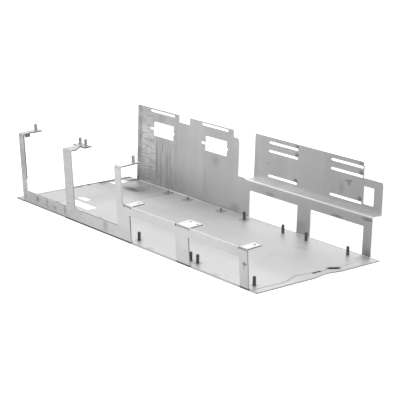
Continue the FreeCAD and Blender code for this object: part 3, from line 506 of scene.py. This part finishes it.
# the wavy crease along the right lip, a line of painted shade with a bump: each point is y, and
# where the crease is across (x)
creaseLook = {
    "points": [(0, 489.8), (24, 490.2), (45, 490.8), (62, 485.8), (77, 482.4), (92, 485.0),
               (112, 486.9), (143, 487.5), (167, 487.4), (186, 493.0)],
    "span": (478.0, 498.0), "width": 1.9, "strength": 0.4, "bump": 0.8,
    "fadeY": (120.0, 140.0, 1.0, 0.4),
}
# painted shade on the strip along the left lip
leftLipShadeLook = {"x": (6.7, 7.7, 1.0, 0.0), "y": (76.0, 106.0, 0.2, 0.8)}


def creaseLine(g, x, y, onBase):
    look = creaseLook
    low, high = look["span"]
    points = [(along / baseSize["width"], (across - low) / (high - low))
              for along, across in look["points"]]
    across = g.curve(g.math("DIVIDE", y, baseSize["width"]), points)
    across = g.total(g.product(across, high - low), low)
    return g.product(lineAt(g, x, across, look["width"]), onBase, g.ramp(y, *look["fadeY"]))


def makeSheetMaterial():
    look = sheetLook
    material, g = newMaterial("satinZincSheet")
    place, x, y, z = drawingAxes(g)
    metal = rolledMetal(g, place, look["roughness"], look["cloudDepth"])
    onRear = g.product(g.ramp(y, *sheetZones["rearY"]), g.ramp(z, *sheetZones["rearZ"]))
    onBase = g.ramp(z, *sheetZones["baseZ"])
    tone, foldShade = sheetTone(g, place, x, y, z, onRear, onBase)
    # the rear end's dirt, with painted shade along its foot
    streaks, wiped = rearEndDirtAndShade(g, place, x, z, onRear)

    broken = g.ramp(g.noise(place, **look["breaks"]), *look["breakDepth"])
    marks = g.product(markField(g, place, darkMarksAndShade), broken)
    stains = g.product(markField(g, place, brownMarks), broken)
    rings = g.product(ringField(g, place), onBase)
    crease = creaseLine(g, x, y, onBase)
    leftStripShade = g.product(g.ramp(x, *leftLipShadeLook["x"]), onBase, g.ramp(y, *leftLipShadeLook["y"]))
    paintedShadeLines = g.largest(g.product(crease, creaseLook["strength"]), leftStripShade)
    # the dark colour that shade mixes in stands for dirt and for painted shade
    shade = g.math("MAXIMUM", g.largest(marks, streaks, paintedShadeLines, rings), foldShade, clamp=True)

    tints = g.ramp(g.noise(place, **look["tints"]), *look["tintMix"])
    plain = g.mixColor(tints, grey(look["color"], look["warmTint"]),
                       grey(look["color"], look["coolTint"]))
    color = g.scaled(plain, g.product(metal["Tone"], tone, wiped))
    color = g.mixColor(stains, g.mixColor(shade, color, look["dirtAndShade"]), look["rust"])
    color = g.mixColor(markField(g, place, holeLightMarks), color, grey(look["holeLight"]))
    rough = g.math("ADD", metal["Roughness"], g.product(shade, look["dirtRoughness"]), clamp=True)
    height = g.less(metal["Height"], g.product(crease, creaseLook["bump"]))
    bump = g.add("ShaderNodeBump", {"Height": height, "Strength": look["bump"],
                                    "Distance": look["bumpHeight"] * mm})
    metalSurface(g, look["metallic"], color, rough, bump.outputs["Normal"])
    return material


# cut edges: a plain sheared finish and lit and shaded copies of it, chosen by place and facing:
# painted light on the bright and pale ones, painted shade on the dark ones, and painted shadow in
# the right lip's slots
edgeLooks = {
    "shearedEdge": {"color": 0.4, "roughness": 0.55, "metallic": 0.9},
    "paintedPaleEdge": {"color": 0.6, "roughness": 0.5, "metallic": 0.8},
    "paintedLitEdge": {"color": 0.97, "roughness": 0.4, "metallic": 0.7},
    "paintedShadeEdge": {"color": 0.2, "roughness": 0.6, "metallic": 0.6},
    "paintedShadowEdge": {"color": 0.025, "roughness": 0.7, "metallic": 0.4},
}
edgeGrain = {"cloudDepth": 0.4, "grainDepth": 0.4}
# painted shade on the edges of the middle and right posts, darker towards their foot and at the
# tab; painted light on those of the front rail, lighter towards the bottom and at the right leg
postEdgeShade = {
    "x": (100.0, 256.0, 1.0), "y": (30.0, 34.0, 1.0, 0.0), "z": (44.0, 64.0, 0.58, 0.38),
    "tabY": (-2.5, -1.5), "tabZ": (90.0, 91.0), "tab": 0.84,
}
windowEdgeLight = {
    "x": (255.0, 256.0), "y": (30.0, 34.0, 1.0, 0.0), "z": (2.6, 44.5, 0.5),
    "lowZ": (6.0, 24.0, 1.1, 0.0), "rightX": (465.0, 470.0, 0.0, 0.7),
}


def makeEdgeMaterial(name):
    look = edgeLooks[name]
    material, g = newMaterial(name)
    place, x, y, z = drawingAxes(g)
    metal = rolledMetal(g, place, look["roughness"], **edgeGrain)
    zone = postEdgeShade
    onPosts = g.product(g.band(x, *zone["x"]), g.ramp(y, *zone["y"]))
    atTab = g.product(g.ramp(z, *zone["tabZ"]), g.ramp(y, *zone["tabY"]), zone["tab"])
    edgeShade = g.product(onPosts, g.largest(g.ramp(z, *zone["z"]), atTab))
    zone = windowEdgeLight
    onRail = g.product(g.ramp(x, *zone["x"]), g.ramp(y, *zone["y"]), g.band(z, *zone["z"]))
    edgeLight = g.largest(g.ramp(z, *zone["lowZ"]), g.ramp(x, *zone["rightX"]))
    tone = g.product(metal["Tone"], g.less(1.0, edgeShade), g.total(1.0, g.product(onRail, edgeLight)))
    color = g.scaled(grey(look["color"])[:3], tone)
    metalSurface(g, look["metallic"], color, metal["Roughness"])
    return material


studLooks = {
    "darkZincStud": {"color": 0.11, "roughness": 0.3},
    "shortZincStud": {"color": 0.3, "roughness": 0.34},
    "paleZincStud": {"color": 0.4, "roughness": 0.38},
}
studCloudDepth = 0.6
# two of the post studs have kept a warm tint at their tips
warmTips = {"on": "paleZincStud", "color": (0.42, 0.35, 0.31, 1.0),
            "z": (98.0, 101.5), "x": (132.0, 134.0, 1.0, 0.0)}


def makeStudMaterial(name):
    look = studLooks[name]
    material, g = newMaterial(name)
    place, x, y, z = drawingAxes(g)
    metal = rolledMetal(g, place, look["roughness"], studCloudDepth)
    color = g.scaled(grey(look["color"])[:3], metal["Tone"])
    if name == warmTips["on"]:
        warm = g.product(g.ramp(z, *warmTips["z"]), g.ramp(x, *warmTips["x"]))
        color = g.mixColor(warm, color, warmTips["color"])
    metalSurface(g, 1.0, color, metal["Roughness"])
    return material


sheetMetal = makeSheetMaterial()
edgeMetals = [makeEdgeMaterial(name) for name in edgeLooks]
studMetals = {name: makeStudMaterial(name) for name in studLooks}
print("materials made")

# the folded sheet: broken edges, and its cut faces told apart from its skin
sheetPiece = {
    "mergeDistance": 0.002, "flatAngle": 0.5,
    "skinDepth": 1.62, "rayStart": 0.01, "edgeBreak": 0.12, "breakAngle": 50.0,
    "smoothAngle": 35.0,
}
# places and directions that tell which cut faces get painted light or shade, in drawing millimetres
cutPlaces = {
    "baseZ": 1.6, "lipSlotsX": (478, 493.8), "lipSlotsY": (80, 140), "frontEdgeY": 5,
    "openingsX": (3, 115), "openingsY": (12, 172), "rearY": 100, "rearTopZ": 84, "lowWallZ": 20,
    "railX": 255, "railTopZ": 60, "leftPostX": 33, "leftPostZ": 34.5, "postTopZ": 88,
    "sideways": 0.5, "steep": 0.7,
}
skin, sheared, paleCut, litCut, shadedCut, shadowCut = range(1 + len(edgeLooks))


def within(value, span):
    return span[0] < value < span[1]


def cutFinish(centre, normal):
    # which lit or shaded copy of the edge finish a cut face gets, by its place and the way it faces
    at = cutPlaces
    x, y = centre.x / mm + baseSize["length"] / 2, centre.y / mm + baseSize["width"] / 2
    z = centre.z / mm
    facesRight = normal.x > at["sideways"]
    facesUp, facesFront = normal.z > at["steep"], normal.y < -at["steep"]
    if z < at["baseZ"]:
        if within(x, at["lipSlotsX"]) and within(y, at["lipSlotsY"]):
            return shadowCut
        if facesFront and y < at["frontEdgeY"]:
            return paleCut
        inOpenings = within(x, at["openingsX"]) and within(y, at["openingsY"])
        return litCut if inOpenings else sheared
    if y > at["rearY"]:
        if facesUp and z > at["rearTopZ"]:
            return shadedCut
        return litCut if facesRight else sheared
    if facesUp:
        if z < at["lowWallZ"]:
            return paleCut
        return litCut if x > at["railX"] and z < at["railTopZ"] else sheared
    if not facesRight:
        return sheared
    if x < at["leftPostX"]:
        return shadedCut if z > at["leftPostZ"] else litCut
    return shadedCut if x > at["railX"] or z > at["postTopZ"] else litCut


def finishFaces(work):
    # a skin face has the other skin one thickness below it, a cut face doesn't
    tree = BVHTree.FromBMesh(work)
    largest = {}
    for triangle in work.calc_loop_triangles():
        first, second, third = [loop.vert.co for loop in triangle]
        area = (second - first).cross(third - first).length
        face = triangle[0].face
        if area > largest.get(face.index, (0.0, None))[0]:
            largest[face.index] = (area, (first + second + third) / 3)
    for face in work.faces:
        middle = largest[face.index][1]
        start = middle - face.normal * sheetPiece["rayStart"] * mm
        hit, normal, index, distance = tree.ray_cast(start, -face.normal)
        isSkin = hit is not None and distance < sheetPiece["skinDepth"] * mm
        face.material_index = skin if isSkin else cutFinish(middle, face.normal)


def makeSheet():
    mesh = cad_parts[sheetNode].data.copy()
    mesh.name = "foldedSheet"
    mesh.materials.clear()
    for material in [sheetMetal] + edgeMetals:
        mesh.materials.append(material)
    work = bmesh.new()
    work.from_mesh(mesh)
    bmesh.ops.remove_doubles(work, verts=work.verts, dist=sheetPiece["mergeDistance"] * mm)
    bmesh.ops.dissolve_limit(work, angle_limit=math.radians(sheetPiece["flatAngle"]),
                             verts=work.verts, edges=work.edges)
    work.faces.index_update()
    finishFaces(work)
    work.to_mesh(mesh)
    work.free()
    for polygon in mesh.polygons:
        polygon.use_smooth = True
    mesh.set_sharp_from_angle(angle=math.radians(sheetPiece["smoothAngle"]))
    piece = bpy.data.objects.new("foldedSheet", mesh)
    scene.collection.objects.link(piece)
    bevel = piece.modifiers.new("brokenEdges", "BEVEL")
    bevel.width = sheetPiece["edgeBreak"] * mm
    bevel.segments = 1
    bevel.limit_method = "ANGLE"
    bevel.angle_limit = math.radians(sheetPiece["breakAngle"])
    bevel.use_clamp_overlap = False
    bevel.harden_normals = True
    counts = [sum(polygon.material_index == slot for polygon in mesh.polygons)
              for slot in range(len(mesh.materials))]
    print("sheet:", len(mesh.polygons), "faces; skin and edge finishes:", counts)
    return piece


sheet = makeSheet()
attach(sheet, "root")
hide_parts(sheetNode)

# studs: a clinched cone in the sheet, a rolled thread above it and a chamfered tip, in millimetres
tallStud = {"thread": 2.0, "pitch": 0.7, "length": 12.0, "head": 2.8, "headHeight": 1.6}
postStud = dict(tallStud, length=10.0)
shortStud = dict(tallStud, thread=1.5, pitch=0.5, length=6.0, head=2.3)
# the thread's ridge, root and chamfer as shares of its pitch, and how far the parts overlap
threadShape = {
    "ridge": 0.42, "root": 0.6, "chamfer": 0.6, "sides": 32, "stepsInTurn": 20, "ridgeSides": 6,
    "intoHead": 0.3, "intoTip": 0.05, "tipInset": 0.05, "smoothAngle": 40.0,
}


def makeStudTree():
    shape = threadShape
    tree = bpy.data.node_groups.new("clinchStud", "GeometryNodeTree")
    face = tree.interface
    face.new_socket(name="Geometry", in_out="INPUT", socket_type="NodeSocketGeometry")
    for name in ("Thread Radius", "Pitch", "Length", "Head Radius", "Head Height", "Lean"):
        face.new_socket(name=name, in_out="INPUT", socket_type="NodeSocketFloat")
    face.new_socket(name="Finish", in_out="INPUT", socket_type="NodeSocketMaterial")
    face.new_socket(name="Geometry", in_out="OUTPUT", socket_type="NodeSocketGeometry")
    g = Graph(tree)
    entry = g.add("NodeGroupInput").outputs
    radius, pitch, length = entry["Thread Radius"], entry["Pitch"], entry["Length"]
    headHeight = entry["Head Height"]
    ridge = g.product(pitch, shape["ridge"])
    core = g.less(radius, g.product(pitch, shape["root"]))
    chamfer = g.product(pitch, shape["chamfer"])
    threadEnd = g.less(length, chamfer)

    def raised(geometry, height):
        up = g.add("ShaderNodeCombineXYZ", {"Z": height})
        return g.add("GeometryNodeTransform", {"Geometry": geometry,
                                               "Translation": up.outputs[0]}).outputs["Geometry"]

    def turned(bottom, top, low, high):
        # a closed round part between two heights
        cone = g.add("GeometryNodeMeshCone", {"Vertices": shape["sides"], "Radius Bottom": bottom,
                                              "Radius Top": top, "Depth": g.less(high, low)})
        return raised(cone.outputs["Mesh"], low)

    middle = g.less(radius, ridge)
    height = g.less(threadEnd, headHeight)
    helix = g.add("GeometryNodeCurveSpiral", {
        "Resolution": shape["stepsInTurn"], "Rotations": g.math("DIVIDE", height, pitch),
        "Start Radius": middle, "End Radius": middle, "Height": height})
    profile = g.add("GeometryNodeCurvePrimitiveCircle", {"Resolution": shape["ridgeSides"],
                                                         "Radius": ridge})
    thread = g.add("GeometryNodeCurveToMesh", {"Curve": helix.outputs["Curve"],
                                               "Profile Curve": profile.outputs["Curve"],
                                               "Fill Caps": True})
    parts = [
        turned(entry["Head Radius"], radius, 0.0, headHeight),
        turned(core, core, g.less(headHeight, shape["intoHead"] * mm),
               g.total(threadEnd, shape["intoTip"] * mm)),
        turned(g.less(radius, shape["tipInset"] * mm), g.less(radius, chamfer), threadEnd, length),
        raised(thread.outputs["Mesh"], headHeight),
    ]
    join = g.add("GeometryNodeJoinGeometry")
    for part in parts:
        tree.links.new(part, join.inputs["Geometry"])
    tilt = g.add("ShaderNodeCombineXYZ", {"X": entry["Lean"]})
    turn = g.add("FunctionNodeEulerToRotation", {"Euler": tilt.outputs[0]})
    copies = g.add("GeometryNodeInstanceOnPoints", {"Points": entry["Geometry"],
                                                    "Instance": join.outputs["Geometry"],
                                                    "Rotation": turn.outputs["Rotation"]})
    real = g.add("GeometryNodeRealizeInstances", {"Geometry": copies.outputs["Instances"]})
    finish = g.add("GeometryNodeSetMaterial", {"Geometry": real.outputs["Geometry"],
                                               "Material": entry["Finish"]})
    g.add("NodeGroupOutput", {"Geometry": finish.outputs["Geometry"]})
    return tree


studTree = makeStudTree()
rimDepth = 0.01


def studFoot(node, lean):
    # centre of the head's flush face of a CAD stud
    axis = Vector((0.0, -math.sin(lean), math.cos(lean)))
    points = [vertex.co.copy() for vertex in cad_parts[node].data.vertices]
    lowest = min(point.dot(axis) for point in points)
    rim = [point for point in points if point.dot(axis) < lowest + rimDepth * mm]
    low = Vector([min(point[i] for point in rim) for i in range(3)])
    high = Vector([max(point[i] for point in rim) for i in range(3)])
    return (low + high) / 2


def makeStuds(name, nodes, size, finish, lean=0.0):
    lean = math.radians(lean)
    feet = bpy.data.meshes.new(name + "Feet")
    feet.from_pydata([studFoot(node, lean) for node in nodes], [], [])
    piece = bpy.data.objects.new(name, feet)
    scene.collection.objects.link(piece)
    modifier = piece.modifiers.new("clinchStud", "NODES")
    modifier.node_group = studTree
    values = {
        "Thread Radius": size["thread"] * mm, "Pitch": size["pitch"] * mm,
        "Length": size["length"] * mm, "Head Radius": size["head"] * mm,
        "Head Height": size["headHeight"] * mm, "Lean": lean, "Finish": studMetals[finish],
    }
    for item in studTree.interface.items_tree:
        if item.in_out == "INPUT" and item.name in values:
            modifier[item.identifier] = values[item.name]
    evaluated = piece.evaluated_get(bpy.context.evaluated_depsgraph_get())
    mesh = bpy.data.meshes.new_from_object(evaluated)
    mesh.name = name
    for polygon in mesh.polygons:
        polygon.use_smooth = True
    mesh.set_sharp_from_angle(angle=math.radians(threadShape["smoothAngle"]))
    piece.modifiers.clear()
    piece.data = mesh
    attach(piece, "root")
    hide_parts(*nodes)
    print(name, len(mesh.polygons), "faces")


def studNodes(row, numbers):
    return ["stud_%s_%d" % (row, number) for number in numbers]


makeStuds("frontStuds", studNodes("front", (1, 2, 3, 4)), tallStud, "darkZincStud")
makeStuds("rearTallStuds", studNodes("rear", (4, 5, 6, 7)), tallStud, "darkZincStud")
makeStuds("rearShortStuds", studNodes("rear", (1, 2, 3)), shortStud, "shortZincStud")
makeStuds("postStuds", studNodes("post", (1, 2, 3, 4)), postStud, "paleZincStud", frontLean)

# cameraLift whitens the open floor, and stops under the sheet, where the floor's colour is painted
# dark as shade, so that its slots look into shade
floorLook = {
    "size": 8.0, "drop": 0.3, "color": 0.9, "cameraLift": 0.7,
    "shade": 0.04, "shadeX": (118.0, 493.0, 0.5), "shadeY": (1.0, 185.0, 0.5),
}


def makeFloor():
    look = floorLook
    bpy.ops.mesh.primitive_plane_add(size=look["size"], location=(0, 0, -look["drop"] * mm))
    floor = bpy.context.object
    floor.name = "floor"
    material, g = newMaterial("paleFloor")
    place, x, y, z = drawingAxes(g)
    rays = g.add("ShaderNodeLightPath").outputs
    under = g.product(g.band(x, *look["shadeX"]), g.band(y, *look["shadeY"]))
    tint = g.mixColor(under, grey(look["color"]), grey(look["shade"]))
    matt = g.add("ShaderNodeBsdfDiffuse", {"Color": tint})
    strength = g.product(rays["Is Camera Ray"], g.less(1.0, under), look["cameraLift"])
    glow = g.add("ShaderNodeEmission", {"Color": grey(1.0), "Strength": strength})
    both = g.add("ShaderNodeAddShader", {0: matt.outputs[0], 1: glow.outputs[0]})
    g.add("ShaderNodeOutputMaterial", {"Surface": both.outputs[0]})
    floor.data.materials.append(material)


worldLook = {"ambient": 0.55, "seen": 1.0}


def makeWorld():
    world = bpy.data.worlds.new("studio")
    scene.world = world
    world.use_nodes = True
    world.node_tree.nodes.clear()
    g = Graph(world.node_tree)
    rays = g.add("ShaderNodeLightPath").outputs
    seen = g.largest(rays["Is Camera Ray"], rays["Is Glossy Ray"], rays["Is Transmission Ray"])
    ambient, white = [
        g.add("ShaderNodeBackground", {"Color": grey(1.0), "Strength": worldLook[part]}).outputs[0]
        for part in ("ambient", "seen")]
    mix = g.add("ShaderNodeMixShader", {0: seen, 1: ambient, 2: white})
    g.add("ShaderNodeOutputWorld", {"Surface": mix.outputs[0]})


lamps = [
    {"name": "keyLamp", "at": (0.9, -0.5, 1.5), "size": 1.2, "power": 10.0},
    {"name": "fillLamp", "at": (-1.3, -0.9, 1.0), "size": 1.4, "power": 4.0},
    {"name": "sideLamp", "at": (1.0, 1.33, 0.42), "size": 0.8, "power": 5.0},
]


def makeLamps():
    for look in lamps:
        light = bpy.data.lights.new(look["name"], "AREA")
        light.size = look["size"]
        light.energy = look["power"]
        lamp = bpy.data.objects.new(look["name"], light)
        lamp.location = look["at"]
        lamp.rotation_euler = (-lamp.location).to_track_quat("-Z", "Y").to_euler()
        scene.collection.objects.link(lamp)


# angles in degrees, lens and sensor in millimetres
cameraLook = {
    "at": (1.33735, -1.02106, 0.49454), "tilt": 74.77, "turn": 51.97,
    "lens": 126.18, "sensor": 36.0, "shift": (0.0003, -0.0013), "clipStart": 0.01,
}


def makeCamera():
    look = cameraLook
    data = bpy.data.cameras.new("camera")
    data.sensor_width = look["sensor"]
    data.lens = look["lens"]
    data.shift_x, data.shift_y = look["shift"]
    data.clip_start = look["clipStart"]
    camera = bpy.data.objects.new("camera", data)
    camera.location = look["at"]
    camera.rotation_euler = (math.radians(look["tilt"]), 0.0, math.radians(look["turn"]))
    scene.collection.objects.link(camera)
    scene.camera = camera


makeFloor()
makeWorld()
makeLamps()
makeCamera()
scene.view_settings.view_transform = "Standard"
print("stage set")
